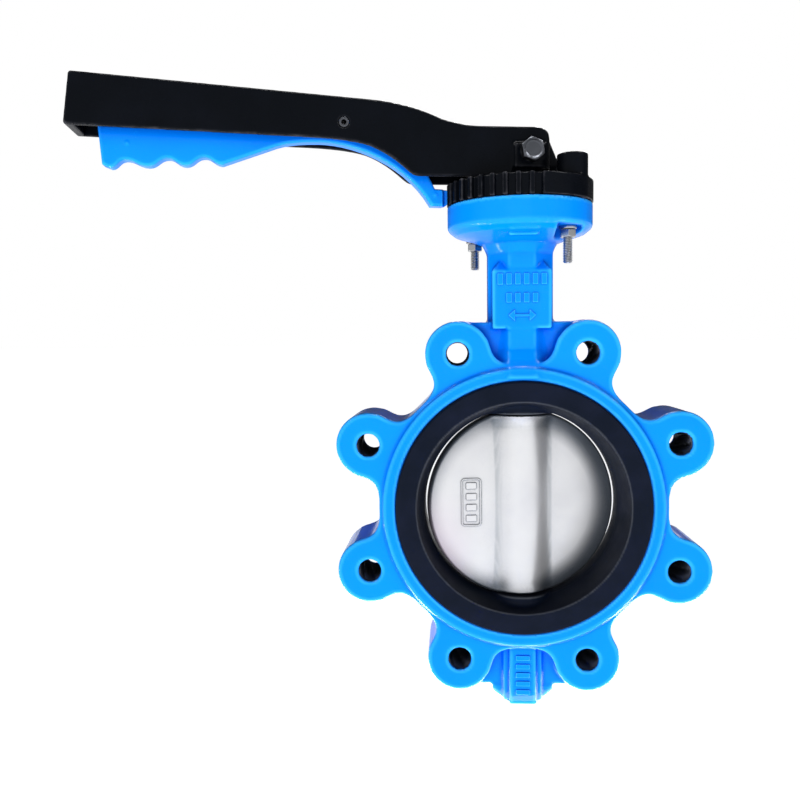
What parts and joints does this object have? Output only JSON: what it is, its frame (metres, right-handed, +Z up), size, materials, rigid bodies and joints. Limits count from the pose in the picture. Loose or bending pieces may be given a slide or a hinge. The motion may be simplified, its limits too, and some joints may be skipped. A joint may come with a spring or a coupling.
{
  "type": "lug butterfly valve",
  "caption": "Lug-type butterfly valve: drilled-lug body with rubber liner, disc on a vertical stem, top flange with notch plate, and a lever with a squeeze latch.",
  "frame": {"origin": "centre of the bore, midway between the two pipe faces", "axes": "+Z up along the stem; +Y along the pipe, away from the side with the set bolt; +X across. The shut lever points along -X"},
  "size_m": [0.3911, 0.1097, 0.3924],
  "materials": {
    "blue_epoxy": "glossy blue epoxy coating on cast iron",
    "blue_latch": "glossy blue paint on a cast latch",
    "black_paint": "semi-gloss black paint",
    "epdm_rubber": "moulded black rubber, satin",
    "plated_disc": "nickel-plated cast disc, satin",
    "stem_steel": "turned stainless steel",
    "zinc_steel": "bright zinc plating",
    "black_steel": "black-finished bolt",
    "spring_steel": "spring wire, lightly oiled",
    "bearing_liner": "PTFE-lined bearing, matt"
  },
  "bodies": {
    "valve_body": {"body_casting": "blue_epoxy", "seat_liner": "epdm_rubber", "upper_bush": "bearing_liner", "middle_bush": "bearing_liner", "bottom_bush": "bearing_liner", "stem_seal_upper": "epdm_rubber", "stem_seal_lower": "epdm_rubber", "thrust_washer": "bearing_liner", "bottom_plug": "zinc_steel", "plug_seal": "epdm_rubber", "notch_plate": "black_paint", "plate_stud_front": "zinc_steel", "plate_bolt_back": "zinc_steel", "plate_washer_front": "zinc_steel", "plate_washer_back": "zinc_steel", "plate_nut_front": "zinc_steel", "plate_nut_back": "zinc_steel"},
    "rotor": {"disc": "plated_disc", "upper_stem": "stem_steel", "lower_stem": "stem_steel", "stem_circlip": "spring_steel", "handle": "black_paint", "pivot_pin": "stem_steel", "latch_spring": "spring_steel", "set_bolt": "black_steel", "set_bolt_washer": "black_steel"},
    "latch": {"latch": "blue_latch"}
  },
  "joints": [
    {"name": "stem_turn", "type": "hinge", "parent": "valve_body", "child": "rotor", "pos_m": [0, 0, 0], "axis": [0, 0, 1], "range_deg": [-10, 80]},
    {"name": "latch_squeeze", "type": "hinge", "parent": "rotor", "child": "latch", "pos_m": [-0.1102, -0.01943, 0.2374], "axis": [-0.1736, 0.9848, 0], "range_deg": [-4, 6], "stiffness_Nm_per_rad": 6, "springref_deg": -4, "deforming": ["latch_spring"]}
  ]
}
